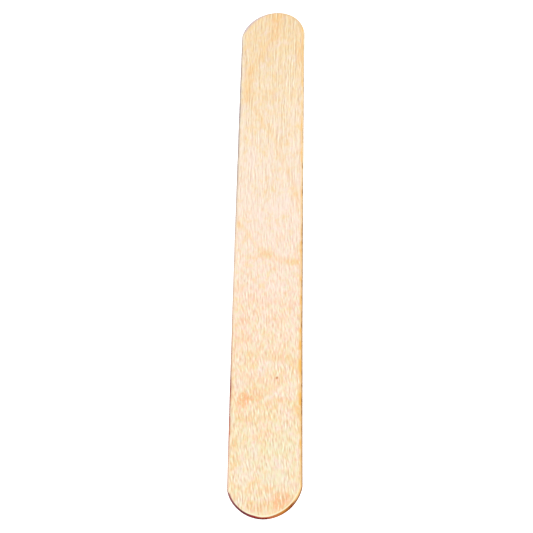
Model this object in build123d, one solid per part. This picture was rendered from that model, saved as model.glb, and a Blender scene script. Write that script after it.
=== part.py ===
"""Flat wooden applicator stick with two rounded ends, stamped from one sheet of birch veneer.

The stick lies on one of its two wide faces. Lengths are in millimetres. The origin is in the
middle of the underside, +X runs across the stick, +Y along it from tip to tip, and +Z is up.
"""

import os

from build123d import *

# Outline, as the die cuts it out of the veneer.
LENGTH = 150.0  # from tip to tip
WIDTH = 18.0  # between the two straight sides
END_RISE = 7.5  # how far the middle of an end curve stands past the straight sides
CORNER_ROUND = 1.0  # soft corner where an end curve meets a straight side

# Section of the veneer, and what tumbling takes off its edges.
THICKNESS = 1.6
EDGE_ROUND = 0.3  # rounding along the whole rim of both wide faces


def end_curve(end):
    """The arc that closes the stick at one end: 1 is the +Y end and -1 the -Y end.

    It is a little flatter than a half circle, so it meets each side at a faint corner.
    """
    tip = end * LENGTH / 2
    shoulder = tip - end * END_RISE
    return ThreePointArc(
        (-WIDTH / 2, shoulder),
        (0, tip),
        (WIDTH / 2, shoulder),
    )


def stick_outline():
    """The flat outline of the stick: two straight sides between the two end curves."""
    far_end = end_curve(1)
    near_end = end_curve(-1)
    left_side = Line(near_end @ 0, far_end @ 0)
    right_side = Line(near_end @ 1, far_end @ 1)
    sharp = make_face([far_end, right_side, near_end, left_side])
    return fillet(sharp.vertices(), CORNER_ROUND)


def make_stick():
    """The whole stick, with the rims of its upper and under face rounded."""
    blank = extrude(stick_outline(), THICKNESS)
    faces_by_height = blank.faces().sort_by(Axis.Z)
    rims = faces_by_height[0].edges() + faces_by_height[-1].edges()
    return fillet(rims, EDGE_ROUND)


def main():
    stick = make_stick()
    stick.label = "stick"
    os.makedirs("parts", exist_ok=True)
    export_step(stick, "parts/stick.step")


main()
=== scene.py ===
"""Flat birch applicator stick on a pale floor, in plain soft studio light.

The stick is one closed mesh with the outline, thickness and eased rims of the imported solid. It adds
what makes one real stick uneven: a slight crook, a left shoulder cut too far out, rims that swell
and shrink, and a scored wall. Its wide faces carry the shallow relief of rotary-cut veneer: vessel
grooves, raised fibres and a slow wave from the knife. The colour of the wood is all nodes. Lengths
are in millimetres, with X across the stick, Y along it and Z up, and MM turns them into metres.
"""
import math
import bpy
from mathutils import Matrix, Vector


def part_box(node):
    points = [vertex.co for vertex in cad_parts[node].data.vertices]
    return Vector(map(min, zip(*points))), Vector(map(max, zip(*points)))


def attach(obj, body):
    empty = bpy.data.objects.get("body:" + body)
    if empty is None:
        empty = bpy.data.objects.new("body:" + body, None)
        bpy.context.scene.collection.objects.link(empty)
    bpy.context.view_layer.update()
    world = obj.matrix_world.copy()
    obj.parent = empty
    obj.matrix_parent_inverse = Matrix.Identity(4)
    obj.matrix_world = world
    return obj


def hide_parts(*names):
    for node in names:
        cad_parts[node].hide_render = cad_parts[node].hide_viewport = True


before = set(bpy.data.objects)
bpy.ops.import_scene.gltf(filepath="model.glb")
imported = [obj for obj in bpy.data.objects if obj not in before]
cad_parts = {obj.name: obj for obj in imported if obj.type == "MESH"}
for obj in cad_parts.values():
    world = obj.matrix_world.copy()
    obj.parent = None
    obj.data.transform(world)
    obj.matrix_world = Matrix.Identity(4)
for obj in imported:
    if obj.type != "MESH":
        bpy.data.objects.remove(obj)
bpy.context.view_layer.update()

from types import SimpleNamespace

import bpy
import numpy as np
from mathutils import Matrix, Vector

MM = 0.001

# The stick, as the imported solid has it
LOW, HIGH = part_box("stick")
WIDTH = (HIGH[0] - LOW[0]) / MM
LENGTH = (HIGH[1] - LOW[1]) / MM
THICKNESS = (HIGH[2] - LOW[2]) / MM
END_RISE = 7.5  # how far the middle of an end curve stands past the straight sides
STRAIGHT_END = LENGTH / 2 - END_RISE  # how far from the middle the straight sides end
END_RADIUS = (WIDTH**2 / 4 + END_RISE**2) / (2 * END_RISE)
END_CENTRE = LENGTH / 2 - END_RADIUS  # how far the centre of an end curve is from the middle
EDGE_ROUND = 0.3  # rounding that tumbling gives the rims

# What makes this stick uneven
CROOK = 0.24  # the middle stands this far to the left of a straight line from tip to tip
SHOULDER_DROP = 0.26  # the near end's left shoulder is cut this far beyond the right one
SHOULDER_ACROSS = (WIDTH / 3, WIDTH / 2)  # how far from the middle line the drop comes in
SHOULDER_ALONG = (LENGTH / 2 - 2 * END_RISE, STRAIGHT_END)  # and how far along from the middle
EASE_UNEVEN = 0.22  # share by which the rounding of a rim swells and shrinks
EASE_CELL = 4.0  # length of a swelling along the rim
CUT_WAVE = 0.03  # how far the cut wall strays inwards from the die's line
CUT_CELL = 11.0
SCORE_DEPTH = 0.018  # upright scores that the die leaves down the wall
SCORE_CELL = 1.6

# Relief of a wide face, each with its cell across and along
KNIFE_WAVE = 0.022  # slow wave, from the veneer knife
KNIFE_CELL = (2 * WIDTH, 9.0)
FIBRE_RELIEF = 0.012  # height of the raised fibres
COARSE_CELL = (0.7, 7.0)
FINE_CELL = (0.32, 3.5)
COARSE_SHARE = 0.6  # share of the relief that the coarse fibres have
VESSEL_DEPTH = 0.022  # depth of the vessel grooves
RELIEF_FADE = (EDGE_ROUND, 3 * EDGE_ROUND)  # the relief comes in between these, from the outline

# Vessel grooves
VESSELS = 2600  # on one face
VESSEL_CELL = (0.05, 0.2)  # fineness of the map that the grooves are drawn on
VESSEL_LENGTHS = (0.8, 3.4)
VESSEL_HALF_WIDTHS = (0.05, 0.11)
VESSEL_STRENGTHS = (0.35, 1.0)
VESSEL_REACH = 4  # half widths from its middle line to where a groove has run out
VESSEL_TAPER = 0.55  # share of its half length at which a groove starts to run out

# Lean of the fibres
LEAN_FROM = 15.0  # from the far end the fibres run straight down to here
LEAN = 0.1  # drift to a millimetre of length, once the lean is full
LEAN_EASE = 20.0  # the longer this is, the more slowly the lean comes in

# How finely the mesh is divided
COLUMNS = 190  # across a face
SIDE_ROWS = 180  # along a straight side
END_ROWS = 10  # along an end curve, from where a side stops to the corner of the grid
GRID_ROWS = SIDE_ROWS + 2 * END_ROWS  # from the near end's line to the far end's
FACE_POINTS = (GRID_ROWS + 1) * (COLUMNS + 1)
GRID_CORNER = math.pi / 4  # angle from the tip to where an end curve has a corner of the grid
QUARTER_TURN = math.pi / 2
ROUND_STEPS = 4  # down the rounding of a rim
WALL_STEPS = 6  # down the wall between the two roundings

SEED = 41


# Shape of the stick


def smooth_step(value, start, end):
    """0 up to start and 1 from end on, with a soft rise between them."""
    share = np.clip((value - start) / (end - start), 0, 1)
    return share * share * (3 - 2 * share)


def blend_cells(values, row, column, up, right):
    """Values between four neighbours of a grid. up and right are the shares of the next row and
    of the next column."""
    lower = values[row, column] * (1 - right) + values[row, column + 1] * right
    upper = values[row + 1, column] * (1 - right) + values[row + 1, column + 1] * right
    return lower * (1 - up) + upper * up


def random_waves(x, y, cell, random):
    """Smooth random heights from -1 to 1, with cells of the given width and length. They cover
    twice the width and length of the stick, because the leaning fibres reach past its side."""
    cell_x, cell_y = cell
    columns = int(2 * WIDTH / cell_x) + 3
    rows = int(2 * LENGTH / cell_y) + 3
    heights = random.uniform(-1, 1, (rows, columns))
    across = (x + WIDTH) / cell_x
    along = (y + LENGTH) / cell_y
    column = np.floor(across).astype(int)
    row = np.floor(along).astype(int)
    right = smooth_step(across - column, 0, 1)
    up = smooth_step(along - row, 0, 1)
    return blend_cells(heights, row, column, up, right)


def grain_lean(y):
    """How far the fibres have drifted to the right at y: they run straight from the far end to
    about the middle and then lean a little more to the right with every millimetre."""
    below = np.clip(LEAN_FROM - y, 0, None)
    return LEAN * below**2 / (below + LEAN_EASE)


def end_arc(angles, end):
    """Points of an end curve, as rows of x, y and the outward direction. Angles are from the tip
    towards +X, and end is 1 for the far end and -1 for the near one."""
    sine = np.sin(angles)
    cosine = np.cos(angles)
    return np.column_stack([
        END_RADIUS * sine,
        end * (END_CENTRE + END_RADIUS * cosine),
        sine,
        end * cosine,
    ])


def end_line(end):
    """The part of an end curve that closes the grid, from left to right."""
    return end_arc(np.linspace(-GRID_CORNER, GRID_CORNER, COLUMNS + 1), end)


def side_line(side):
    """One long side of the grid from the near end to the far one, with the stretch of each end
    curve that belongs to it. side is 1 for +X and -1 for -X. Where curve and side meet, outward is
    halfway between theirs."""
    shoulder = math.asin(WIDTH / 2 / END_RADIUS)
    angles = side * np.linspace(GRID_CORNER, shoulder, END_ROWS + 1)
    near = end_arc(angles, -1)
    far = end_arc(angles[::-1], 1)
    heights = np.linspace(-STRAIGHT_END, STRAIGHT_END, SIDE_ROWS + 1)[1:-1]
    flat = np.ones_like(heights)
    middle = np.column_stack([side * WIDTH / 2 * flat, heights, side * flat, 0 * flat])
    halfway = (shoulder + QUARTER_TURN) / 2
    near[-1, 2:] = side * math.sin(halfway), -math.cos(halfway)
    far[0, 2:] = side * math.sin(halfway), math.cos(halfway)
    return np.vstack([near, middle, far])


def outline_loop():
    """The whole outline once round, starting at the near left corner of the grid."""
    near = end_line(-1)
    right = side_line(1)
    far = end_line(1)[::-1]
    left = side_line(-1)[::-1]
    return np.vstack([near[:-1], right[:-1], far[:-1], left[:-1]])


def loop_waves(loop, cell, random):
    """Smooth random values from -1 to 1 round the outline, that close on themselves."""
    steps = np.linalg.norm(np.diff(loop[:, :2], axis=0, append=loop[:1, :2]), axis=1)
    travelled = np.concatenate([[0], np.cumsum(steps)])
    count = max(3, int(travelled[-1] / cell))
    knots = random.uniform(-1, 1, count)
    place = travelled[:-1] / travelled[-1] * count
    before = np.floor(place).astype(int) % count
    share = smooth_step(place - np.floor(place), 0, 1)
    return knots[before] * (1 - share) + knots[(before + 1) % count] * share


def fill_grid(border):
    """Rows of points that fill a closed border of as many points as outline_loop gives, blended
    from its four lines."""
    near = border[:COLUMNS + 1]
    right = border[COLUMNS:COLUMNS + GRID_ROWS + 1]
    far = border[COLUMNS + GRID_ROWS:2 * COLUMNS + GRID_ROWS + 1][::-1]
    left = np.vstack([border[2 * COLUMNS + GRID_ROWS:], border[:1]])[::-1]
    steps = np.linalg.norm(np.diff(right, axis=0), axis=1)
    v = (np.concatenate([[0], np.cumsum(steps)]) / steps.sum())[:, None, None]
    u = np.linspace(0, 1, COLUMNS + 1)[None, :, None]
    ends = (1 - v) * near[None] + v * far[None]
    sides = (1 - u) * left[:, None] + u * right[:, None]
    near_corners = (1 - u) * near[0] + u * near[-1]
    far_corners = (1 - u) * far[0] + u * far[-1]
    return ends + sides - (1 - v) * near_corners - v * far_corners


def rim_distance(x, y):
    """How far a point of a face is inside the outline."""
    past = np.clip(np.abs(y) - END_CENTRE, 0, None)
    return np.minimum(WIDTH / 2 - np.abs(x), END_RADIUS - np.hypot(x, past))


def vessel_map(random):
    """A map of one face with its vessel grooves: 0 on plain wood, 1 in the deepest groove."""
    cell_x, cell_y = VESSEL_CELL
    columns = int(WIDTH / cell_x) + 1
    rows = int(LENGTH / cell_y) + 1
    depth = np.zeros((rows, columns))
    for _ in range(VESSELS):
        x = random.uniform(-WIDTH / 2, WIDTH / 2)
        y = random.uniform(-LENGTH / 2, LENGTH / 2)
        half_length = random.uniform(*VESSEL_LENGTHS) / 2
        half_width = random.uniform(*VESSEL_HALF_WIDTHS)
        strength = random.uniform(*VESSEL_STRENGTHS)
        first = max(0, int((y - half_length + LENGTH / 2) / cell_y))
        last = min(rows - 1, int((y + half_length + LENGTH / 2) / cell_y) + 1)
        along = np.arange(first, last + 1) * cell_y - LENGTH / 2
        drift = grain_lean(along) - grain_lean(y)
        reach = VESSEL_REACH * half_width
        left = max(0, int((x + drift.min() - reach + WIDTH / 2) / cell_x))
        right = min(columns - 1, int((x + drift.max() + reach + WIDTH / 2) / cell_x) + 1)
        if left >= right or first >= last:
            continue
        across = np.arange(left, right + 1) * cell_x - WIDTH / 2
        profile = np.exp(-(((across[None, :] - x - drift[:, None]) / half_width) ** 2))
        taper = 1 - smooth_step(np.abs(along - y) / half_length, VESSEL_TAPER, 1)
        groove = strength * taper[:, None] * profile
        window = depth[first:last + 1, left:right + 1]
        np.maximum(window, groove, out=window)
    return depth


def read_map(depth, x, y):
    """The values of a face's map at points of that face."""
    cell_x, cell_y = VESSEL_CELL
    rows, columns = depth.shape
    past_last = 1.001  # keeps a point on the border inside the last cell
    across = np.clip((x + WIDTH / 2) / cell_x, 0, columns - past_last)
    along = np.clip((y + LENGTH / 2) / cell_y, 0, rows - past_last)
    column = across.astype(int)
    row = along.astype(int)
    return blend_cells(depth, row, column, along - row, across - column)


def face_relief(grid, random):
    """How deep each point of a face lies under a flat one, and how much of it is a groove."""
    x = grid[..., 0]
    y = grid[..., 1]
    along_fibre = x - grain_lean(y)
    knife = random_waves(x, y, KNIFE_CELL, random)
    coarse = random_waves(along_fibre, y, COARSE_CELL, random)
    fine = random_waves(along_fibre, y, FINE_CELL, random)
    vessels = read_map(vessel_map(random), x, y)
    fade = smooth_step(rim_distance(x, y), *RELIEF_FADE)
    fibres = COARSE_SHARE * (1 + coarse) + (1 - COARSE_SHARE) * (1 + fine)
    depth = KNIFE_WAVE * (1 + knife) / 2
    depth += FIBRE_RELIEF * fibres / 2
    depth += VESSEL_DEPTH * vessels
    return depth * fade, vessels * fade


def grid_quads():
    """The four-sided faces of a grid of points, and its border once round."""
    corner = np.arange(FACE_POINTS).reshape(GRID_ROWS + 1, COLUMNS + 1)
    quads = np.stack([corner[:-1, :-1], corner[:-1, 1:], corner[1:, 1:], corner[1:, :-1]], axis=-1)
    border = np.concatenate([
        corner[0, :-1],
        corner[:-1, -1],
        corner[-1, :0:-1],
        corner[:0:-1, 0],
    ])
    return quads.reshape(-1, 4), border


def ring_quads(upper, lower):
    """The four-sided faces between two rings of points."""
    return np.column_stack([upper, lower, np.roll(lower, -1), np.roll(upper, -1)])


def edge_rings(ease, stray, score):
    """Rings of the edge, down the upper rounding, the wall and the lower rounding: how far each
    lies inside the die's line, its height, its place on the flat map and its profile."""
    upper = []
    lower = []
    for angle in np.linspace(0, QUARTER_TURN, ROUND_STEPS + 1)[1:]:
        inset = ease * (1 - math.sin(angle)) + stray
        sunk = ease * (1 - math.cos(angle))
        unrolled = ease * (angle - 1)
        over = angle / QUARTER_TURN
        upper.append((inset, THICKNESS - sunk, unrolled, over))
        lower.insert(0, (inset, sunk, unrolled, over))
    wall = []
    for share in np.linspace(0, 1, WALL_STEPS + 1)[1:-1]:
        drop = ease + (THICKNESS - 2 * ease) * share
        inset = stray + score * math.sin(math.pi * share)
        unrolled = ease * (QUARTER_TURN - 2) + np.minimum(drop, THICKNESS - drop)
        over = 2 - abs(1 - 2 * share)
        wall.append((inset, THICKNESS - drop, unrolled, over))
    return upper + wall + lower


def put_out_of_true(points):
    """Moves the points of a true stick to where they are on this one, which is crooked and has
    its near left shoulder cut too far out."""
    points[:, 0] -= CROOK * (1 - (points[:, 1] / (LENGTH / 2)) ** 2)
    to_left = smooth_step(-points[:, 0], *SHOULDER_ACROSS)
    to_near_end = smooth_step(-points[:, 1], *SHOULDER_ALONG)
    points[:, 1] -= SHOULDER_DROP * to_left * to_near_end


def make_stick_mesh():
    """The whole stick as one closed mesh of four-sided faces: its points, its faces, its flat map
    for baking, the depth of its vessel grooves, and its profile. The profile says where a point
    is over the edge: below 0 it is that many millimetres inside the rounding of a rim, from 0 to 1
    it is on the rounding, and from 1 to 2 it is on the wall, up to half its height."""
    random = np.random.default_rng(SEED)
    loop = outline_loop()
    turn = len(loop)
    place = loop[:, :2]
    outward = loop[:, 2:]
    ease = EDGE_ROUND * (1 + EASE_UNEVEN * loop_waves(loop, EASE_CELL, random))[:, None]
    stray = CUT_WAVE * (1 + loop_waves(loop, CUT_CELL, random))[:, None] / 2
    score = SCORE_DEPTH * (1 + loop_waves(loop, SCORE_CELL, random))[:, None] / 2

    grid = fill_grid(place - outward * (ease + stray))
    inside = rim_distance(grid[..., 0], grid[..., 1]) - EDGE_ROUND
    inside[[0, -1], :] = 0
    inside[:, [0, -1]] = 0
    layers = []
    maps = []
    grooves = []
    profile = []
    for top in (True, False):
        depth, vessels = face_relief(grid, random)
        height = THICKNESS - depth if top else depth
        layers.append(np.dstack([grid, height]).reshape(-1, 3))
        maps.append(grid.reshape(-1, 2))
        grooves.append(vessels.ravel())
        profile.append(-np.clip(inside, 0, None).ravel())

    quads, border = grid_quads()
    faces = [quads, quads[:, ::-1] + FACE_POINTS]
    previous = border
    current = 2 * FACE_POINTS + np.arange(turn)
    for inset, height, unrolled, over in edge_rings(ease, stray, score):
        layers.append(np.column_stack([place - outward * inset, height]))
        maps.append(place + outward * unrolled)
        grooves.append(np.zeros(turn))
        profile.append(np.full(turn, over))
        faces.append(ring_quads(previous, current))
        previous = current
        current = current + turn
    faces.append(ring_quads(previous, border + FACE_POINTS))

    points = np.vstack(layers)
    put_out_of_true(points)
    flat = np.vstack(maps)
    return points, np.vstack(faces), flat, np.concatenate(grooves), np.concatenate(profile)


def build_stick():
    """The stick as a Blender object, with smooth shading and its own map for baking."""
    points, faces, flat, grooves, profile = make_stick_mesh()
    mesh = bpy.data.meshes.new("birch_stick")
    mesh.vertices.add(len(points))
    mesh.vertices.foreach_set("co", (points * MM).ravel())
    mesh.loops.add(faces.size)
    mesh.loops.foreach_set("vertex_index", faces.ravel())
    mesh.polygons.add(len(faces))
    mesh.polygons.foreach_set("loop_start", np.arange(len(faces)) * 4)
    mesh.update(calc_edges=True)
    mesh.polygons.foreach_set("use_smooth", np.ones(len(faces), dtype=bool))
    for name, values in (("vessels", grooves), ("profile", profile)):
        attribute = mesh.attributes.new(name, "FLOAT", "POINT")
        attribute.data.foreach_set("value", values)
    lay_out_map(mesh, points, faces, flat)
    mesh.validate()
    stick = bpy.data.objects.new("birch_stick", mesh)
    bpy.context.scene.collection.objects.link(stick)
    return stick


MAP_MARGIN = 0.01


def lay_out_map(mesh, points, faces, flat):
    """The map that the bake uses: each wide face lies along the map with the half of the wall
    beside it unrolled outwards, the upper face in the upper half of the map."""
    spread = EDGE_ROUND + THICKNESS / 2
    long_side = LENGTH + 2 * spread
    short_side = WIDTH + 2 * spread
    vertex = faces.ravel()
    height = points[faces, 2].mean(axis=1)
    upper = np.repeat(height > THICKNESS / 2, 4)
    u = MAP_MARGIN + (1 - 2 * MAP_MARGIN) * (flat[vertex, 1] + long_side / 2) / long_side
    v = MAP_MARGIN + (0.5 - 2 * MAP_MARGIN) * (flat[vertex, 0] + short_side / 2) / short_side
    v = np.where(upper, v + 0.5, v)
    layer = mesh.uv_layers.new(name="OFBake")
    layer.data.foreach_set("uv", np.column_stack([u, v]).ravel())


# Node trees


class Nodes:
    """A node tree that is filled one node at a time."""

    def __init__(self, tree):
        self.tree = tree

    def add(self, kind, feeds=None, **settings):
        """A new node with its settings, and each input in feeds set or linked."""
        node = self.tree.nodes.new(kind)
        for name, value in settings.items():
            setattr(node, name, value)
        for name, value in (feeds or {}).items():
            self.feed(node.inputs[name], value)
        return node

    def feed(self, socket, value):
        """Sets a socket to a plain value, or links it to another node's output."""
        if isinstance(value, bpy.types.NodeSocket):
            self.tree.links.new(value, socket)
        else:
            socket.default_value = value

    def calc(self, operation, *values, clamp=False):
        """One Math node's result."""
        node = self.add("ShaderNodeMath", operation=operation, use_clamp=clamp)
        for socket, value in zip(node.inputs, values):
            self.feed(socket, value)
        return node.outputs["Value"]

    def plus(self, first, second):
        return self.calc("ADD", first, second)

    def minus(self, first, second):
        return self.calc("SUBTRACT", first, second)

    def times(self, first, second, clamp=False):
        return self.calc("MULTIPLY", first, second, clamp=clamp)

    def over(self, first, second):
        return self.calc("DIVIDE", first, second)

    def rise(self, value, low, high, start=0.0, end=1.0):
        """start below low and end above high, with a soft change between them."""
        node = self.add(
            "ShaderNodeMapRange",
            {"Value": value, "From Min": low, "From Max": high, "To Min": start, "To Max": end},
            interpolation_type="SMOOTHSTEP",
        )
        return node.outputs["Result"]

    def rises(self, value, changes, total=0.0):
        """A total with several rises of one value added to it."""
        for change in changes:
            total = self.plus(total, self.rise(value, *change))
        return total

    def split(self, vector):
        """The X, Y and Z outputs of a vector."""
        node = self.add("ShaderNodeSeparateXYZ", {"Vector": vector})
        return node.outputs["X"], node.outputs["Y"], node.outputs["Z"]

    def join(self, x, y, z):
        """One vector from three values."""
        node = self.add("ShaderNodeCombineXYZ", {"X": x, "Y": y, "Z": z})
        return node.outputs["Vector"]

    def noise(self, place, scale=1.0, detail=0.0, roughness=0.5, flat=False):
        """Smooth random values about 0.5. Flat ones change with X and Y alone."""
        node = self.add(
            "ShaderNodeTexNoise",
            {"Vector": place, "Scale": scale, "Detail": detail, "Roughness": roughness},
            noise_dimensions="2D" if flat else "3D",
        )
        return node.outputs["Fac"]

    def grain(self, x, y, layer, across, along, **settings):
        """Noise with the given number of cells to a millimetre across and along the stick. Each
        layer has a pattern of its own."""
        place = self.join(self.times(x, across), self.times(y, along), layer)
        return self.noise(place, **settings)

    def swing(self, noise, strength):
        """Noise made to swing about 0 with the given strength."""
        return self.times(self.minus(noise, 0.5), strength)

    def mix(self, share, first, second):
        """The value first where share is 0 and second where it is 1."""
        node = self.add("ShaderNodeMix", {0: share, 2: first, 3: second}, data_type="FLOAT")
        return node.outputs[0]

    def mix_colour(self, share, first, second):
        """The colour first where share is 0 and second where it is 1."""
        node = self.add("ShaderNodeMix", {0: share, 6: first, 7: second}, data_type="RGBA")
        return node.outputs[2]

    def mix_both_ways(self, value, wood, above, below):
        """wood where value is 0, turning into the colour above as it rises to 1 and into the
        colour below as it falls to -1."""
        wood = self.mix_colour(self.calc("MAXIMUM", value, 0.0, clamp=True), wood, above)
        return self.mix_colour(self.times(value, -1.0, clamp=True), wood, below)

    def ramp(self, where, tones, reach):
        """The colour that a table of tones gives at where, which runs from -reach / 2 to
        reach / 2."""
        share = self.calc("MULTIPLY_ADD", where, 1 / reach, 0.5)
        ramp = self.add("ShaderNodeValToRGB", {"Fac": share})
        stops = ramp.color_ramp.elements
        while len(stops) < len(tones):
            stops.new(0.5)
        for stop, (place, *colour) in zip(stops, tones):
            stop.position = place / reach + 0.5
            stop.color = tone(*colour)
        return ramp.outputs["Color"]

    def group(self, tree, **feeds):
        """A node group with its named inputs set. An underscore in a name stands for a space."""
        node = self.add("ShaderNodeGroup", node_tree=tree)
        for name, value in feeds.items():
            self.feed(node.inputs[name.replace("_", " ")], value)
        return node.outputs


def new_group(name, inputs, outputs):
    """An empty shader node group: its nodes, what it is given and what it puts out. inputs gives
    each socket's name and its value if nothing feeds it, or None for a vector."""
    tree = bpy.data.node_groups.new(name, "ShaderNodeTree")
    for socket, value in inputs.items():
        kind = "NodeSocketVector" if value is None else "NodeSocketFloat"
        made = tree.interface.new_socket(socket, in_out="INPUT", socket_type=kind)
        if value is not None:
            made.default_value = value
    for socket in outputs:
        tree.interface.new_socket(socket, in_out="OUTPUT", socket_type="NodeSocketFloat")
    nodes = Nodes(tree)
    source = nodes.add("NodeGroupInput").outputs
    result = nodes.add("NodeGroupOutput").inputs
    return nodes, source, result


# A grain, here and below, is the cells of its noise to a millimetre across and along the stick,
# what they are scaled by, and its detail and roughness. Four numbers, or two, are a change: the
# two values that it lies between, and what it goes from and to, which is 0 and 1 where only two
# are given.
SWAY_GRAIN = dict(across=0.25, along=0.3)
PATCHY_GRAIN = dict(across=0.45, along=0.3, detail=1.0)
PATCHY_LAYER = 5.0  # keeps this grain apart from the fibres' sway
PATCHY_CONTRAST = (0.3, 0.7, 0.55, 1.45)
FACES_APART = 61.0  # keeps the fibres of the two faces different


def fibre_group():
    """Streaks of pale and dark fibre along the stick, as a value about 0.5. Each pale fibre throws
    a shadow, which is the same noise taken away again the given gap to the side of it."""
    nodes, given, result = new_group(
        "Fibre streaks",
        {
            "Place": None,
            "Width": 0.5,
            "Length": 4.0,
            "Waviness": 0.0,
            "Gap": 0.4,
            "Shadow": 0.6,
            "Contrast": 1.0,
            "Offset": 0.0,
        },
        ["Streaks"],
    )
    x, y, face = nodes.split(given["Place"])
    sway = nodes.swing(nodes.grain(x, y, face, **SWAY_GRAIN), given["Waviness"])
    apart = nodes.calc("MULTIPLY_ADD", face, FACES_APART, given["Offset"])
    across = nodes.plus(nodes.over(nodes.plus(x, sway), given["Width"]), apart)
    along = nodes.over(y, given["Length"])
    beside = nodes.plus(across, nodes.over(given["Gap"], given["Width"]))
    pale = nodes.minus(nodes.noise(nodes.join(across, along, 0.0), flat=True), 0.5)
    dark = nodes.swing(nodes.noise(nodes.join(beside, along, 0.0), flat=True), given["Shadow"])
    patchy = nodes.grain(x, y, nodes.plus(apart, PATCHY_LAYER), **PATCHY_GRAIN)
    strength = nodes.times(nodes.rise(patchy, *PATCHY_CONTRAST), given["Contrast"])
    spread = nodes.times(nodes.minus(pale, dark), strength)
    nodes.feed(result["Streaks"], nodes.plus(spread, 0.5))
    return nodes.tree


PATCH_GRAIN = dict(across=1.0, along=0.6, scale=0.9, detail=1.5)
PATCH_SWING = 2.0  # how far a grain moves the edge of a patch, in half widths
PATCH_FADE = (0.35, 1.25, 1.0, 0.0)  # by the distance from the middle, in half widths


def patch_group():
    """A soft ragged patch round one place on the stick: 1 in its middle and 0 outside."""
    nodes, given, result = new_group(
        "Soft patch",
        {
            "Place": None,
            "Across": 0.0,
            "Along": 0.0,
            "Half Width": 2.0,
            "Half Length": 2.0,
            "Raggedness": 0.6,
        },
        ["Patch"],
    )
    x, y, z = nodes.split(given["Place"])
    ragged = nodes.swing(nodes.grain(x, y, z, **PATCH_GRAIN), given["Raggedness"])
    right = nodes.over(nodes.minus(x, given["Across"]), given["Half Width"])
    up = nodes.over(nodes.minus(y, given["Along"]), given["Half Length"])
    away = nodes.calc("SQRT", nodes.plus(nodes.times(right, right), nodes.times(up, up)))
    away = nodes.plus(away, nodes.times(ragged, PATCH_SWING))
    nodes.feed(result["Patch"], nodes.rise(away, *PATCH_FADE))
    return nodes.tree


TINT_FULL = 0.15  # the profile from which a rim is fully tinted
HIGHLIGHT_FULL = 0.4  # share of its width at which the painted highlight line is full
WALL_SOFTNESS = 0.25  # the profile that the wall takes to come in


def edge_group():
    """Parts of the edge, each as 1 there and 0 elsewhere, from the profile that the mesh carries:
    the tinted band that runs into the rim of a face, the painted highlight line inside it, and the
    cut wall."""
    nodes, given, result = new_group(
        "Eased edge",
        {"Profile": 0.0, "Stain Width": 0.3, "Worn Width": 0.5, "Wall Starts": 0.4},
        ["Stain", "Highlight", "Wall"],
    )
    profile = given["Profile"]
    tint_starts = nodes.times(given["Stain Width"], -1.0)
    highlight_starts = nodes.times(given["Worn Width"], -1.0)
    highlight_full = nodes.times(given["Worn Width"], -HIGHLIGHT_FULL)
    wall_full = nodes.plus(given["Wall Starts"], WALL_SOFTNESS)
    nodes.feed(result["Stain"], nodes.rise(profile, tint_starts, TINT_FULL))
    nodes.feed(result["Highlight"], nodes.rise(profile, highlight_starts, highlight_full))
    nodes.feed(result["Wall"], nodes.rise(profile, given["Wall Starts"], wall_full))
    return nodes.tree


# Growth lines of the upper face, drawn as points across and along the stick. First the broad
# brown flame at the far tip, that narrows down to the swinging line
FLAME = [(1.2, 77), (1.0, 73), (0.8, 70), (0.6, 66.5), (-1.0, 63.8), (-1.8, 62.5)]
# soft brown line that swings out to the left edge, and its fainter run across to the right one
SWING_OUT = [
    (0.2, 65.2), (-1.8, 62.5), (-3.7, 58.6), (-6.1, 55.5), (-6.7, 51.6), (-6.4, 47), (-5.9, 44.2),
]
SWING_BACK = [
    (-6.3, 46.0), (-5.0, 42.2), (-3.2, 38.8), (-1.2, 36.0), (0.9, 32.6), (1.9, 28.0), (3.7, 22.7),
    (5.8, 17.2), (7.2, 12.0), (7.8, 7.0),
]
# bands that cross the stick
MIDDLE_BAND = [
    (-9, 6), (-7.5, 4.6), (-5.2, 1.2), (-3.2, -2.2), (-1.5, -4.2), (1, -5.4), (4, -7), (9, -7.8),
]
NEAR_BAND = [(-4.5, -34.0), (-1, -33.4), (2.4, -33.9), (5.5, -35.2), (9, -36.2)]

# Each line with its half width, its strength, and whether it runs along the stick
GROWTH_LINES = (
    (FLAME, 1.9, 0.7, True),
    (SWING_OUT, 1.25, 0.6, True),
    (SWING_BACK, 0.9, 0.36, True),
    (MIDDLE_BAND, 1.2, 0.42, False),
    (NEAR_BAND, 1.4, 0.42, False),
)
LINE_CORE = 0.15  # share of its half width over which a line is full
LINE_REACH = 1.5  # share of its half width at which a line has faded
LINE_GRAIN = dict(across=1.0, along=0.5, scale=0.8, detail=2.0)
LINE_STRETCH = 2.0  # how much further the grain moves a line along the stick than across it
UNEVEN_SCALE = 0.35  # of the noise that makes the lines uneven
LINE_UNEVEN = (0.3, 0.6, 0.75, 1.15)


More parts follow.
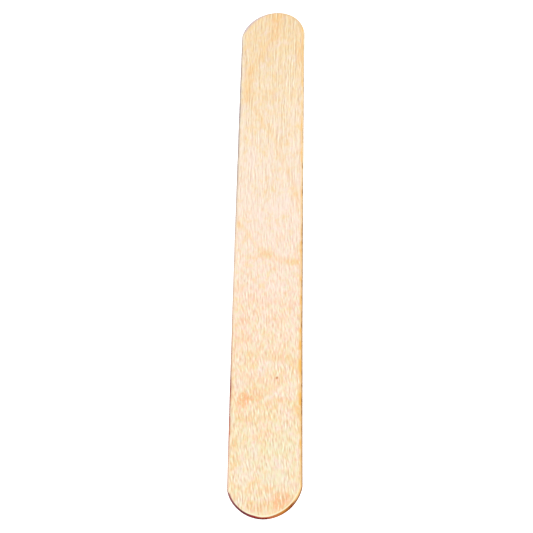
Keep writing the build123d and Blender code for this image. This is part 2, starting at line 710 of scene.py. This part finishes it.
def growth_line(nodes, place, points, half_width, along_stick):
    """A value of 1 along one growth line, fading to 0 beside it and at its two ends."""
    x, y, _ = nodes.split(place)
    run, offset = x, y
    if along_stick:
        points = sorted((up, right) for right, up in points)
        run, offset = y, x
    start = points[0][0]
    reach = points[-1][0] - start
    lowest = min(value for _, value in points)
    spread = max(value for _, value in points) - lowest
    share = nodes.over(nodes.minus(run, start), reach)
    curve = nodes.add("ShaderNodeFloatCurve", {"Value": nodes.calc("MAXIMUM", share, 0.0)})
    drawn = curve.mapping.curves[0].points
    while len(drawn) < len(points):
        drawn.new(0.5, 0.5)
    for knot, (at, value) in zip(drawn, points):
        knot.location = ((at - start) / reach, (value - lowest) / spread)
    curve.mapping.update()
    middle = nodes.calc("MULTIPLY_ADD", curve.outputs["Value"], spread, lowest)
    away = nodes.calc("ABSOLUTE", nodes.minus(offset, middle))
    line = nodes.rise(away, LINE_CORE * half_width, LINE_REACH * half_width, 1.0, 0.0)
    beyond = nodes.calc("ABSOLUTE", nodes.minus(share, 0.5))
    end = nodes.rise(beyond, 0.5 - half_width / reach, 0.5 + half_width / reach, 1.0, 0.0)
    return nodes.times(line, end)


def growth_group():
    """The growth lines of the upper face, as 1 where the wood is darkest."""
    nodes, given, result = new_group(
        "Growth lines",
        {"Place": None, "Raggedness": 0.8},
        ["Lines"],
    )
    x, y, z = nodes.split(given["Place"])
    ragged = nodes.swing(nodes.grain(x, y, z, **LINE_GRAIN), given["Raggedness"])
    moved_along = nodes.calc("MULTIPLY_ADD", ragged, LINE_STRETCH, y)
    place = nodes.join(nodes.plus(x, ragged), moved_along, z)
    total = 0.0
    for points, half_width, strength, along_stick in GROWTH_LINES:
        line = growth_line(nodes, place, points, half_width, along_stick)
        total = nodes.calc("MAXIMUM", total, nodes.times(line, strength))
    uneven = nodes.noise(given["Place"], scale=UNEVEN_SCALE, detail=1.0)
    nodes.feed(result["Lines"], nodes.times(total, nodes.rise(uneven, *LINE_UNEVEN)))
    return nodes.tree


SCREEN_GAMMA = 2.2


def tone(red, green, blue):
    """A colour in linear light from the 0 to 255 values that a screen shows."""
    return tuple((part / 255) ** SCREEN_GAMMA for part in (red, green, blue)) + (1.0,)


# Golden patches of the upper face: across, along, half width, half length and strength
GOLDEN_PATCHES = (
    (0.8, 73.6, 1.6, 2.2, 0.35),
    (5.3, 71.0, 1.4, 2.0, 0.2),
    (3.4, 73.6, 2.2, 1.2, 0.45),
    (-6.2, 71.6, 1.6, 1.6, 0.4),
    (-2.4, 74.2, 1.6, 1.0, 0.35),
    (8.2, 67.5, 1.2, 2.6, 0.4),
    (8.2, 59.2, 1.8, 5.0, 1.0),
    (-6.1, 55.5, 1.6, 2.2, 0.3),
    (-6.8, 47.0, 1.1, 4.0, 0.25),
    (0.0, 45.5, 1.3, 2.2, 0.4),
    (7.0, 11.0, 1.1, 2.5, 0.35),
    (-8.0, 5.4, 1.2, 1.5, 0.35),
    (8.5, -10.0, 1.3, 9.0, 0.35),
    (3.0, 0.0, 1.6, 1.4, 0.3),
    (-5.5, 1.2, 1.3, 1.2, 0.3),
    (-1.0, -4.5, 2.4, 1.6, 0.5),
    (6.0, -7.6, 2.0, 1.2, 0.45),
    (-8.3, -14.3, 1.0, 1.6, 0.35),
    (-8.6, -30.0, 1.3, 7.0, 0.35),
    (-8.5, -43.0, 1.2, 5.0, 0.35),
    (3.2, -34.3, 3.2, 1.5, 0.35),
    (7.9, -48.4, 1.3, 1.9, 1.2),
    (0.8, -46.2, 1.5, 1.2, 0.5),
    (-3.2, -44.4, 2.6, 2.2, 0.7),
    (-5.0, -50.1, 3.0, 1.0, 0.6),
    (-7.6, -56.2, 1.4, 1.8, 0.85),
    (-7.2, -61.4, 1.5, 1.5, 0.85),
    (0.4, -53.8, 1.5, 1.4, 0.45),
    (0.8, -68.0, 1.9, 1.3, 0.75),
    (0.4, -71.8, 1.8, 1.3, 0.8),
    (-3.2, -71.8, 1.6, 1.3, 0.9),
    (-6.6, -69.4, 1.0, 1.1, 0.4),
    (3.6, -72.2, 1.9, 1.2, 0.85),
)

# Reddish patches, the same way
RED_PATCHES = (
    (-6.1, -23.4, 1.8, 1.4, 0.55),
    (2.5, -23.4, 2.4, 1.2, 0.2),
    (-5.0, -28.4, 1.7, 1.9, 0.45),
    (4.8, -28.8, 1.8, 1.3, 0.15),
    (3.4, -40.4, 1.3, 1.4, 0.35),
    (-0.8, -40.2, 1.8, 1.0, 0.25),
    (-5.4, -44.7, 1.9, 2.4, 1.15),
    (-2.6, -44.8, 1.7, 2.0, 0.4),
    (3.8, -45.6, 2.4, 0.9, 0.5),
    (-6.6, -48.6, 1.5, 0.9, 0.3),
    (4.2, -71.2, 3.0, 2.4, 0.95),
    (-1.4, -73.0, 2.2, 1.0, 0.5),
)

# Pinkish patches, the same way
PINK_PATCHES = (
    (-7.4, -14.2, 2.0, 1.6, 0.3),
    (-4.2, -16.8, 2.6, 1.4, 0.35),
    (-1.2, -18.2, 2.8, 1.3, 0.4),
    (2.6, -18.6, 2.8, 1.2, 0.3),
    (6.4, -19.6, 2.4, 1.1, 0.3),
    (1.8, -23.6, 3.0, 1.8, 0.25),
    (-5.2, -39.8, 2.6, 2.0, 0.25),
)

# Greenish cream patches, the same way
GREENISH_PATCHES = (
    (2.8, -57.8, 3.6, 3.2, 0.35),
    (-2.4, -60.0, 2.8, 3.6, 0.2),
    (2.6, -65.0, 3.4, 2.6, 0.25),
)

# Paler cream patches, the same way
CREAM_PATCHES = (
    (-1.2, 37.2, 1.0, 1.3, 0.4),
    (-5.2, 25.8, 1.6, 4.2, 0.6),
    (3.4, 10.2, 4.2, 2.4, 0.5),
    (-2.4, 7.4, 3.2, 2.6, 0.2),
    (1.6, -14.6, 2.8, 1.6, 0.5),
    (-6.2, -34.4, 1.6, 1.4, 0.4),
    (6.4, -45.0, 1.4, 1.2, 0.4),
    (3.0, -62.0, 2.8, 1.6, 0.2),
    (-5.0, -65.2, 2.4, 1.8, 0.35),
)

# Small dark flecks of the upper face, the same way
FLECKS = (
    (2.63, -39.7, 0.31, 0.42, 0.75),
    (-6.3, -12.0, 0.16, 0.55, 0.35),
    (-5.5, -12.6, 0.14, 0.5, 0.3),
)

# Colours that change along the stick or across it: the place, and the red, green and blue there
GROUND_TONES = (
    (-75, 252, 227, 184),
    (-62, 252, 234, 200),
    (-46, 253, 227, 187),
    (-28, 254, 227, 199),
    (-8, 253, 230, 211),
    (10, 253, 231, 210),
    (26, 252, 230, 204),
    (46, 251, 226, 190),
    (75, 247, 216, 170),
)
DARK_FIBRE_TONES = (
    (-60, 224, 187, 150),
    (-35, 232, 192, 157),
    (-5, 236, 196, 171),
    (22, 228, 192, 168),
    (45, 216, 185, 152),
    (75, 210, 180, 142),
)
PALE_FIBRE_TONES = (
    (-75, 255, 254, 226),
    (-20, 255, 254, 228),
    (20, 255, 253, 229),
    (45, 255, 252, 222),
    (75, 255, 249, 215),
)
# Left wall: darker cut wood with painted shade on this side, away from the lamp
LEFT_WALL_SHADED_TONES = (
    (-64, 166, 116, 116),
    (-54, 122, 102, 120),
    (-42, 66, 52, 70),
    (-30, 132, 98, 100),
    (-3, 148, 134, 142),
    (20, 128, 126, 146),
    (43, 102, 98, 120),
    (60, 112, 106, 126),
    (74, 186, 172, 184),
)
LEFT_TINT_TONES = (
    (-62, 238, 194, 166),
    (-54, 206, 116, 94),
    (-42, 172, 80, 64),
    (-30, 228, 180, 148),
    (-3, 236, 200, 174),
    (20, 198, 172, 158),
    (43, 174, 148, 146),
    (60, 194, 164, 152),
    (72, 220, 192, 172),
)
# Near end's wall, by x: darker cut wood with painted shade, darkest on the left, away from the lamp
NEAR_WALL_SHADED_TONES = (
    (-9, 176, 116, 112),
    (-7, 138, 72, 80),
    (-4.6, 122, 52, 62),
    (-2.4, 172, 66, 66),
    (0, 212, 96, 62),
    (2.4, 208, 122, 76),
    (4.6, 216, 138, 58),
    (6.4, 162, 88, 42),
    (7.8, 200, 150, 100),
)

# Wood of the wide faces
WARM_WOOD = tone(252, 210, 146)
CREAM_WOOD = tone(253, 232, 222)
PINK_WOOD = tone(255, 206, 186)
GREENISH_WOOD = tone(238, 236, 190)
GOLDEN_FIGURE = tone(251, 202, 138)
RED_FIGURE = tone(254, 186, 130)
VESSEL_BROWN = tone(176, 122, 82)
FLECK_BROWN = tone(192, 100, 50)

# Rims
# Painted highlight: the pale line where the rounding of a rim catches the light
RIM_HIGHLIGHT = tone(255, 249, 212)
GOLDEN_TINT = tone(250, 205, 138)
DEEP_GOLD = tone(250, 188, 92)
FAR_LEFT_TINT = tone(206, 184, 192)
FAR_RIGHT_TINT = tone(230, 191, 143)

# Cut wall
RIGHT_WALL = tone(214, 172, 120)
FAR_RIGHT_WALL = tone(240, 214, 176)
RIGHT_WALL_DARK = tone(150, 100, 46)
CUT_PALE = tone(228, 192, 146)
CUT_DARK = tone(190, 144, 96)
# Painted shade along the foot of the wall where it meets the floor, for the left and right walls
WALL_FOOT_SHADE = tone(110, 0, 22)
RIGHT_WALL_FOOT_SHADE = tone(90, 20, 0)

# Parts of the stick, as changes by height, along the stick and across it
UPPER = (0.4 * THICKNESS, 0.6 * THICKNESS)
NEAR_HALF = (-32.0, 22.0, 1.0, 0.0)
NEAR_END = (-68.5, -66.5, 1.0, 0.0)
NEAR_END_LOWERED = (-8.9, -7.0, 0.8, 0.0)  # it starts this much nearer the tip, by x
FAR_END = (67.0, 70.0)
RIGHT_SIDE = (0.0, 6.0)
MOST_GOLDEN = -38.0  # the tint of the right rim is widest and deepest here
RIM_GRAIN = dict(across=0.2, along=0.3, detail=2.0)
LEFT_RIM_UNEVEN = 0.55  # share of the right rim's unevenness that the left one has
CUT_GRAIN = dict(across=2.5, along=0.4, detail=2.0, roughness=0.6)
CUT_GRAIN_UP = 4.0  # its cells to a millimetre of height


def survey(nodes):
    """What the colours go by at each point of the stick: its place in millimetres, the profile and
    vessel grooves that the mesh carries, its share of each part of the stick, how far it is from
    the most golden place, and the grain of the rims and of the cut wood."""
    coordinates = nodes.add("ShaderNodeTexCoord").outputs["Object"]
    scaled = nodes.add(
        "ShaderNodeVectorMath",
        {"Vector": coordinates, "Scale": 1 / MM},
        operation="SCALE",
    )
    place = scaled.outputs["Vector"]
    x, y, z = nodes.split(place)
    upper = nodes.rise(z, *UPPER)
    near_end = nodes.rise(nodes.plus(y, nodes.rise(x, *NEAR_END_LOWERED)), *NEAR_END)
    right_side = nodes.rise(x, *RIGHT_SIDE)
    return SimpleNamespace(
        place=place,
        x=x,
        y=y,
        z=z,
        profile=nodes.add("ShaderNodeAttribute", attribute_name="profile").outputs["Fac"],
        vessels=nodes.add("ShaderNodeAttribute", attribute_name="vessels").outputs["Fac"],
        upper=upper,
        near_half=nodes.rise(y, *NEAR_HALF),
        near_end=near_end,
        far_end=nodes.rise(y, *FAR_END),
        right_side=right_side,
        past_gold=nodes.calc("ABSOLUTE", nodes.minus(y, MOST_GOLDEN)),
        rim_grain=nodes.grain(x, y, upper, **RIM_GRAIN),
        rim_uneven=nodes.mix(near_end, nodes.mix(right_side, LEFT_RIM_UNEVEN, 1.0), 0.0),
        cut_grain=nodes.grain(x, y, nodes.times(z, CUT_GRAIN_UP), **CUT_GRAIN),
    )


def soft_patches(nodes, patch, place, spots, raggedness):
    """The soft patches of a list, added up."""
    total = 0.0
    for across, along, half_width, half_length, strength in spots:
        spot = nodes.group(
            patch,
            Place=place,
            Across=across,
            Along=along,
            Half_Width=half_width,
            Half_Length=half_length,
            Raggedness=raggedness,
        )
        total = nodes.calc("MULTIPLY_ADD", spot["Patch"], strength, total)
    return total


WARMTH_GRAIN = dict(across=0.85, along=0.6, detail=1.5, roughness=0.6)
WARMTH = 2.6  # strength of the grain
WARMTH_ADDED = 0.4  # and what the near half adds to it
CLOUD_GRAIN = dict(across=0.3, along=0.24, detail=1.0)
CLOUDS = (-40.0, -20.0, 2.1, 0.8)  # strength by y
HUE_GRAIN = dict(across=1.4, along=1.0, detail=1.0, roughness=0.7)
HUE_LAYER = 40.0  # keeps the hue apart from the warmth
HUE = 1.1
HUE_ADDED = 1.7
GOLDEN_SHARE = 0.9
LINE_RAGGED = 0.8
PATCH_RAGGED = 0.6
FLECK_RAGGED = 0.3


def wood_figure(nodes, here, patch):
    """The colour under the fibres. It changes more in warmth and hue than in brightness, and the
    upper face has growth lines and patches."""

    def on_upper_face(share, wood, colour):
        return nodes.mix_colour(nodes.times(share, here.upper), wood, colour)

    def patches(spots):
        return soft_patches(nodes, patch, here.place, spots, PATCH_RAGGED)

    wood = nodes.ramp(here.y, GROUND_TONES, LENGTH)
    warmth = nodes.grain(here.x, here.y, here.z, **WARMTH_GRAIN)
    strength = nodes.calc("MULTIPLY_ADD", here.near_half, WARMTH_ADDED, WARMTH)
    warmth = nodes.swing(warmth, strength)
    clouds = nodes.grain(here.x, here.y, here.z, **CLOUD_GRAIN)
    clouds = nodes.swing(clouds, nodes.rise(here.y, *CLOUDS))
    wood = nodes.mix_both_ways(nodes.plus(warmth, clouds), wood, WARM_WOOD, CREAM_WOOD)
    growth = nodes.group(growth_group(), Place=here.place, Raggedness=LINE_RAGGED)["Lines"]
    golden = nodes.times(nodes.plus(growth, patches(GOLDEN_PATCHES)), GOLDEN_SHARE)
    wood = on_upper_face(golden, wood, GOLDEN_FIGURE)
    wood = on_upper_face(patches(RED_PATCHES), wood, RED_FIGURE)
    hue = nodes.grain(here.x, here.y, nodes.plus(here.z, HUE_LAYER), **HUE_GRAIN)
    hue = nodes.swing(hue, nodes.calc("MULTIPLY_ADD", here.near_half, HUE_ADDED, HUE))
    wood = nodes.mix_both_ways(hue, wood, PINK_WOOD, GREENISH_WOOD)
    wood = on_upper_face(patches(GREENISH_PATCHES), wood, GREENISH_WOOD)
    wood = on_upper_face(patches(PINK_PATCHES), wood, PINK_WOOD)
    return on_upper_face(patches(CREAM_PATCHES), wood, CREAM_WOOD)


EVEN_FIBRES = dict(Width=0.36, Length=2.1, Waviness=0.3, Gap=0.4, Shadow=0.6, Contrast=1.55)
THREADS = dict(Width=0.34, Length=13.0, Waviness=0.5, Gap=0.38, Shadow=0.6, Contrast=1.6,
               Offset=17.0)
SHORT_FIBRES = dict(Width=0.38, Length=1.45, Waviness=0.5, Gap=0.4, Shadow=0.35, Contrast=2.4,
                    Offset=9.0)
HAIRS = dict(Width=0.14, Length=3.0, Waviness=0.5, Gap=0.16, Shadow=0.6, Contrast=0.8,
             Offset=31.0)
THREAD_SHARE = (-40.0, 50.0, 0.25, 0.6)  # by y
SHORT_SHARE = 0.56  # in the near half


def fibre_streaks(nodes, here):
    """Two values about 0.5: streaks of fibre that are long and even at the far end and short and
    uneven towards the near end, and fine hairs. They drift to the right as grain_lean says."""
    below = nodes.calc("MAXIMUM", nodes.minus(LEAN_FROM, here.y), 0.0)
    drift = nodes.times(nodes.times(below, below), LEAN)
    drift = nodes.over(drift, nodes.plus(below, LEAN_EASE))
    leaning = nodes.join(nodes.minus(here.x, drift), here.y, here.upper)
    fibre = fibre_group()
    even, threads, short, hairs = [
        nodes.group(fibre, Place=leaning, **look)["Streaks"]
        for look in (EVEN_FIBRES, THREADS, SHORT_FIBRES, HAIRS)
    ]
    streaks = nodes.mix(nodes.rise(here.y, *THREAD_SHARE), even, threads)
    streaks = nodes.mix(nodes.times(here.near_half, SHORT_SHARE), streaks, short)
    return streaks, hairs


LEFT_TINT_WIDTH = (-10.0, 10.0, 0.46, 0.52)  # by y
RIGHT_TINT_WIDTH = (5.0, 20.0, 0.9, 0.5)  # by the distance from MOST_GOLDEN
NEAR_TINT_WIDTH = 0.05
FAR_TINT_WIDTH = (0.5, 3.0, 0.45, 0.85)  # by the distance from the middle line
TINT_WIDTH_GRAIN = (0.34, 0.66, 0.75, 1.25)
# how far inside the rounding the painted highlight line starts, in millimetres
HIGHLIGHT_WIDTH = 0.4

# The profile that the wall starts at
LEFT_WALL_STARTS = 0.35
RIGHT_WALL_STARTS = 0.1
FAR_WALL_STARTS = 0.0
NEAR_WALL_STARTS = (  # by x, added up
    (-8.0, -5.0, -0.32, -0.05),
    (-2.6, -0.2, 0.0, 0.32),
    (1.0, 3.5, 0.0, -0.17),
    (6.4, 7.8, 0.0, 0.4),
)


def edge_parts(nodes, here):
    """The tinted rim, the painted highlight line and the cut wall, from widths that change round the
    stick.
    """
    width = nodes.mix(
        here.right_side,
        nodes.rise(here.y, *LEFT_TINT_WIDTH),
        nodes.rise(here.past_gold, *RIGHT_TINT_WIDTH),
    )
    width = nodes.mix(here.near_end, width, NEAR_TINT_WIDTH)
    far_width = nodes.rise(nodes.calc("ABSOLUTE", here.x), *FAR_TINT_WIDTH)
    width = nodes.mix(here.far_end, width, far_width)
    uneven = nodes.mix(here.rim_uneven, 1.0, nodes.rise(here.rim_grain, *TINT_WIDTH_GRAIN))
    starts = nodes.mix(here.right_side, LEFT_WALL_STARTS, RIGHT_WALL_STARTS)
    starts = nodes.mix(here.near_end, starts, nodes.rises(here.x, NEAR_WALL_STARTS))
    starts = nodes.mix(here.far_end, starts, FAR_WALL_STARTS)
    return nodes.group(
        edge_group(),
        Profile=here.profile,
        Stain_Width=nodes.times(width, uneven),
        Worn_Width=HIGHLIGHT_WIDTH,
        Wall_Starts=starts,
    )


# Where the painted highlight line shows: along the left rim and across the near end
LEFT_HIGHLIGHT = (15.0, 30.0, 0.5, 0.8)  # by y
NEAR_HIGHLIGHT = ((-6.0, -3.5, 0.15, 0.85), (7.6, 8.8, 0.0, -0.6))  # by x, added up


def highlight_share(nodes, here):
    """How strong the painted highlight line inside the rim is."""
    left = nodes.mix(here.right_side, nodes.rise(here.y, *LEFT_HIGHLIGHT), 0.0)
    sides = nodes.times(left, nodes.minus(1.0, here.far_end))
    return nodes.mix(here.near_end, sides, nodes.rises(here.x, NEAR_HIGHLIGHT))


GOLD_GRAIN = (0.46, 0.68)
GOLD_ADDED = (5.0, 20.0, 0.25, 0.0)  # by the distance from MOST_GOLDEN
FAR_TINT_TURNS = (-4.0, 0.5)  # by x, from the left tone to the right one
NEAR_TINT_TURNS = (1.0, 7.0)
LEFT_TINT_SHARE = 0.95
RIGHT_TINT_SHARE = (-20.0, 40.0, 0.95, 0.75)  # by y
TINT_SHARE_GRAIN = (0.34, 0.6, 0.7, 1.1)


def rim_tint(nodes, here):
    """The colour of the tinted rim: reddish on the left, golden on the right, greyish round the left
    of the far end, and pale as the painted highlight across the left of the near end."""
    depth = nodes.plus(
        nodes.rise(here.rim_grain, *GOLD_GRAIN),
        nodes.rise(here.past_gold, *GOLD_ADDED),
    )
    golden = nodes.mix_colour(depth, GOLDEN_TINT, DEEP_GOLD)
    left = nodes.ramp(here.y, LEFT_TINT_TONES, LENGTH)
    far = nodes.mix_colour(nodes.rise(here.x, *FAR_TINT_TURNS), FAR_LEFT_TINT, FAR_RIGHT_TINT)
    near = nodes.mix_colour(nodes.rise(here.x, *NEAR_TINT_TURNS), RIM_HIGHLIGHT, GOLDEN_TINT)
    tint = nodes.mix_colour(here.right_side, left, golden)
    tint = nodes.mix_colour(here.far_end, tint, far)
    return nodes.mix_colour(here.near_end, tint, near)


def tint_share(nodes, here):
    """How strong the tint of the rim is."""
    right = nodes.rise(here.y, *RIGHT_TINT_SHARE)
    share = nodes.mix(here.right_side, LEFT_TINT_SHARE, right)
    uneven = nodes.mix(here.rim_uneven, 1.0, nodes.rise(here.rim_grain, *TINT_SHARE_GRAIN))
    return nodes.times(share, uneven)


CUT_LAYERS = (0.32, 0.68)
RIGHT_WALL_PALES = (-30.0, 40.0)  # by y
WALL_GRAIN = dict(across=1.0, along=0.4, detail=2.0)
WALL_LAYER = 12.0  # gives the right wall a grain of its own
WALL_DARK = (0.45, 0.7, 0.0, 0.7)
WALL_DARK_FADES = (20.0, 50.0, 1.0, 0.4)  # by y
WALL_DARK_ADDED = (5.0, 20.0, 0.15, 0.0)  # by the distance from MOST_GOLDEN

# Plain cut wood shows below the darker upper part of the wall, by the profile
RIGHT_CUT_SHOWS = (0.8, 1.2, 0.0, 0.4)
LEFT_CUT_SHOWS = (0.9, 1.3, 0.0, 0.9)
FAR_CUT_SHOWS = (0.5, 0.85, 0.0, 0.9)


def wall_colour(nodes, here):
    """The colour of the cut wall, down to its foot, with painted shade that makes the left and near
    walls darker than the right one.
    """
    cut_wood = nodes.mix_colour(nodes.rise(here.cut_grain, *CUT_LAYERS), CUT_DARK, CUT_PALE)
    right_pales = nodes.rise(here.y, *RIGHT_WALL_PALES)
    right = nodes.mix_colour(right_pales, RIGHT_WALL, FAR_RIGHT_WALL)
    grain = nodes.grain(here.x, here.y, WALL_LAYER, **WALL_GRAIN)
    dark = nodes.times(nodes.rise(grain, *WALL_DARK), nodes.rise(here.y, *WALL_DARK_FADES))
    dark = nodes.plus(dark, nodes.rise(here.past_gold, *WALL_DARK_ADDED))
    right = nodes.mix_colour(dark, right, RIGHT_WALL_DARK)
    right = nodes.mix_colour(nodes.rise(here.profile, *RIGHT_CUT_SHOWS), right, cut_wood)
    left = nodes.ramp(here.y, LEFT_WALL_SHADED_TONES, LENGTH)
    cut_shows = nodes.mix(
        here.far_end,
        nodes.rise(here.profile, *LEFT_CUT_SHOWS),
        nodes.rise(here.profile, *FAR_CUT_SHOWS),
    )
    left = nodes.mix_colour(cut_shows, left, cut_wood)
    wall = nodes.mix_colour(here.right_side, left, right)
    return nodes.mix_colour(here.near_end, wall, nodes.ramp(here.x, NEAR_WALL_SHADED_TONES, WIDTH))


# Painted shade along the foot of the wall, where it meets the floor
FOOT_SHADE = (0.4 * THICKNESS, 0.92 * THICKNESS, 1.0, 0.0)  # by height
FOOT_DARKEST = -0.9  # across the near end
NEAR_FOOT = (1.1, 2.4, 1.3, 0.0)  # by the distance from there
NEAR_FOOT_ADDED = ((3.0, 4.6, 0.0, 0.4), (-5.0, -3.0, 0.25, 0.0))  # by x
LEFT_FOOT = 0.15
RIGHT_FOOT = (-20.0, 30.0, 0.7, 0.35)  # by y
FOOT_GRAIN = (0.2, 0.6, 0.8, 1.1)


def paint_foot_shade(nodes, here, wall):
    """The wall with painted shade along its foot, where it meets the floor, strongest in the middle
    of the near end.
    """
    past_darkest = nodes.calc("ABSOLUTE", nodes.minus(here.x, FOOT_DARKEST))
    near = nodes.rises(here.x, NEAR_FOOT_ADDED, nodes.rise(past_darkest, *NEAR_FOOT))
    sides = nodes.mix(here.right_side, LEFT_FOOT, nodes.rise(here.y, *RIGHT_FOOT))
    foot = nodes.times(nodes.rise(here.z, *FOOT_SHADE), nodes.mix(here.near_end, sides, near))
    foot = nodes.times(foot, nodes.rise(here.cut_grain, *FOOT_GRAIN), clamp=True)
    colour = nodes.mix_colour(here.right_side, WALL_FOOT_SHADE, RIGHT_WALL_FOOT_SHADE)
    colour = nodes.mix_colour(here.near_end, colour, WALL_FOOT_SHADE)
    return nodes.mix_colour(foot, wall, colour)


VESSEL_SHARE = 0.14
LOWER_ROUND = (0.0, 0.4)  # by the profile
FIBRE_ROUGHNESS = (0.2, 0.8, 0.5, 0.64)
CUT_ROUGHNESS = 0.85
SHINE = 0.08
VESSEL_BUMP = -0.8
BUMP_STRENGTH = 0.5
BUMP_DISTANCE = 0.03


def make_birch():
    """Unfinished birch veneer: figure, fibres and flecks on the wide faces, a tinted rim with a
    painted highlight line inside it, and a darker cut wall round the edge, dark partly from its cut
    wood and partly from painted shade. Below the wall the lower rounding is cut wood too."""
    material = bpy.data.materials.new("birch")
    material.use_nodes = True
    nodes = Nodes(material.node_tree)
    shader = material.node_tree.nodes["Principled BSDF"]
    here = survey(nodes)
    patch = patch_group()

    wood = wood_figure(nodes, here, patch)
    streaks, hairs = fibre_streaks(nodes, here)
    fibres = nodes.plus(nodes.minus(streaks, 0.5), nodes.minus(hairs, 0.5))
    dark_fibre = nodes.ramp(here.y, DARK_FIBRE_TONES, LENGTH)
    pale_fibre = nodes.ramp(here.y, PALE_FIBRE_TONES, LENGTH)
    wood = nodes.mix_both_ways(fibres, wood, dark_fibre, pale_fibre)
    wood = nodes.mix_colour(nodes.times(here.vessels, VESSEL_SHARE), wood, VESSEL_BROWN)
    flecks = soft_patches(nodes, patch, here.place, FLECKS, FLECK_RAGGED)
    wood = nodes.mix_colour(nodes.times(flecks, here.upper), wood, FLECK_BROWN)

    edge = edge_parts(nodes, here)
    # Painted highlight along the inner part of the rim
    highlight = nodes.times(highlight_share(nodes, here), edge["Highlight"])
    wood = nodes.mix_colour(highlight, wood, RIM_HIGHLIGHT)
    tinted = nodes.times(edge["Stain"], tint_share(nodes, here), clamp=True)
    wood = nodes.mix_colour(tinted, wood, rim_tint(nodes, here))
    lower_round = nodes.times(
        nodes.minus(1.0, here.upper),
        nodes.rise(here.profile, *LOWER_ROUND),
    )
    cut = nodes.calc("MAXIMUM", edge["Wall"], lower_round)
    # The wall, with painted shade on the left and near walls and along its foot
    wall = paint_foot_shade(nodes, here, wall_colour(nodes, here))
    nodes.feed(shader.inputs["Base Color"], nodes.mix_colour(cut, wood, wall))

    rough = nodes.mix(cut, nodes.rise(streaks, *FIBRE_ROUGHNESS), CUT_ROUGHNESS)
    nodes.feed(shader.inputs["Roughness"], rough)
    shader.inputs["Specular IOR Level"].default_value = SHINE
    relief = nodes.calc("MULTIPLY_ADD", here.vessels, VESSEL_BUMP, streaks)
    relief = nodes.mix(cut, relief, here.cut_grain)
    bump = nodes.add(
        "ShaderNodeBump",
        {"Height": relief, "Strength": BUMP_STRENGTH, "Distance": BUMP_DISTANCE * MM},
    )
    nodes.feed(shader.inputs["Normal"], bump.outputs["Normal"])
    return material


# Studio

FLOOR_RADIUS = 3000.0
FLOOR_GAP = 0.02  # keeps the floor clear of the stick's lower face
FLOOR_GREY = 0.94
FLOOR_ROUGHNESS = 0.9
FLOOR_SHINE = 0.1
FLOOR_GLOW = 1.0  # the camera sees the floor this much brighter, as in an overexposed cut-out
SKY_STRENGTH = 0.7
LAMP_STRENGTH = 1.3
LAMP_SPREAD = 50  # degrees
LAMP_DIRECTION = (0.9, 0.5, 1.4)  # from the stick towards the lamp
CAMERA_PLACE = (57.22, -171.19, 291.1)
CAMERA_AIM = (-0.84, -7.42, 0.0)
CAMERA_ROLL = 21.28  # degrees that the camera is turned about its own line of sight
CAMERA_LENS = 88.69  # focal length
CAMERA_FRAME = 36.0  # width of the square frame behind the lens
CAMERA_NEAREST = 10.0  # anything nearer than this is out of sight


def grey(level):
    """A grey in linear light."""
    return (level, level, level, 1.0)


def add_floor():
    """A plain pale floor under the stick."""
    mesh = bpy.data.meshes.new("floor")
    corners = [(-1, -1), (1, -1), (1, 1), (-1, 1)]
    reach = FLOOR_RADIUS * MM
    mesh.from_pydata([(x * reach, y * reach, 0) for x, y in corners], [], [(0, 1, 2, 3)])
    floor = bpy.data.objects.new("floor", mesh)
    bpy.context.scene.collection.objects.link(floor)
    material = bpy.data.materials.new("pale floor")
    material.use_nodes = True
    nodes = Nodes(material.node_tree)
    shader = material.node_tree.nodes["Principled BSDF"]
    shader.inputs["Base Color"].default_value = grey(FLOOR_GREY)
    shader.inputs["Roughness"].default_value = FLOOR_ROUGHNESS
    shader.inputs["Specular IOR Level"].default_value = FLOOR_SHINE
    shader.inputs["Emission Color"].default_value = grey(FLOOR_GLOW)
    seen = nodes.add("ShaderNodeLightPath").outputs["Is Camera Ray"]
    nodes.feed(shader.inputs["Emission Strength"], seen)
    mesh.materials.append(material)
    floor.location.z = LOW[2] - FLOOR_GAP * MM


def add_light():
    """Soft light from all round, and a broad soft lamp from behind on the right."""
    world = bpy.data.worlds.new("studio")
    world.use_nodes = True
    sky = world.node_tree.nodes["Background"]
    sky.inputs["Color"].default_value = grey(1.0)
    sky.inputs["Strength"].default_value = SKY_STRENGTH
    bpy.context.scene.world = world
    lamp = bpy.data.lights.new("soft lamp", "SUN")
    lamp.energy = LAMP_STRENGTH
    lamp.angle = math.radians(LAMP_SPREAD)
    holder = bpy.data.objects.new("soft lamp", lamp)
    holder.rotation_euler = Vector(LAMP_DIRECTION).to_track_quat("Z", "Y").to_euler()
    bpy.context.scene.collection.objects.link(holder)


def add_camera():
    """The camera, where the photograph was taken from."""
    camera = bpy.data.cameras.new("camera")
    camera.lens = CAMERA_LENS
    camera.sensor_width = CAMERA_FRAME
    camera.clip_start = CAMERA_NEAREST * MM
    holder = bpy.data.objects.new("camera", camera)
    place = Vector(CAMERA_PLACE) * MM
    sight = Vector(CAMERA_AIM) * MM - place
    level = sight.to_track_quat("-Z", "Y").to_matrix()
    turn = Matrix.Rotation(math.radians(-CAMERA_ROLL), 3, "Z")
    holder.matrix_world = Matrix.Translation(place) @ (level @ turn).to_4x4()
    bpy.context.scene.collection.objects.link(holder)
    bpy.context.scene.camera = holder


stick = build_stick()
stick.data.materials.append(make_birch())
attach(stick, "root")
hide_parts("stick")

add_floor()
add_light()
add_camera()
bpy.context.scene.view_settings.view_transform = "Standard"
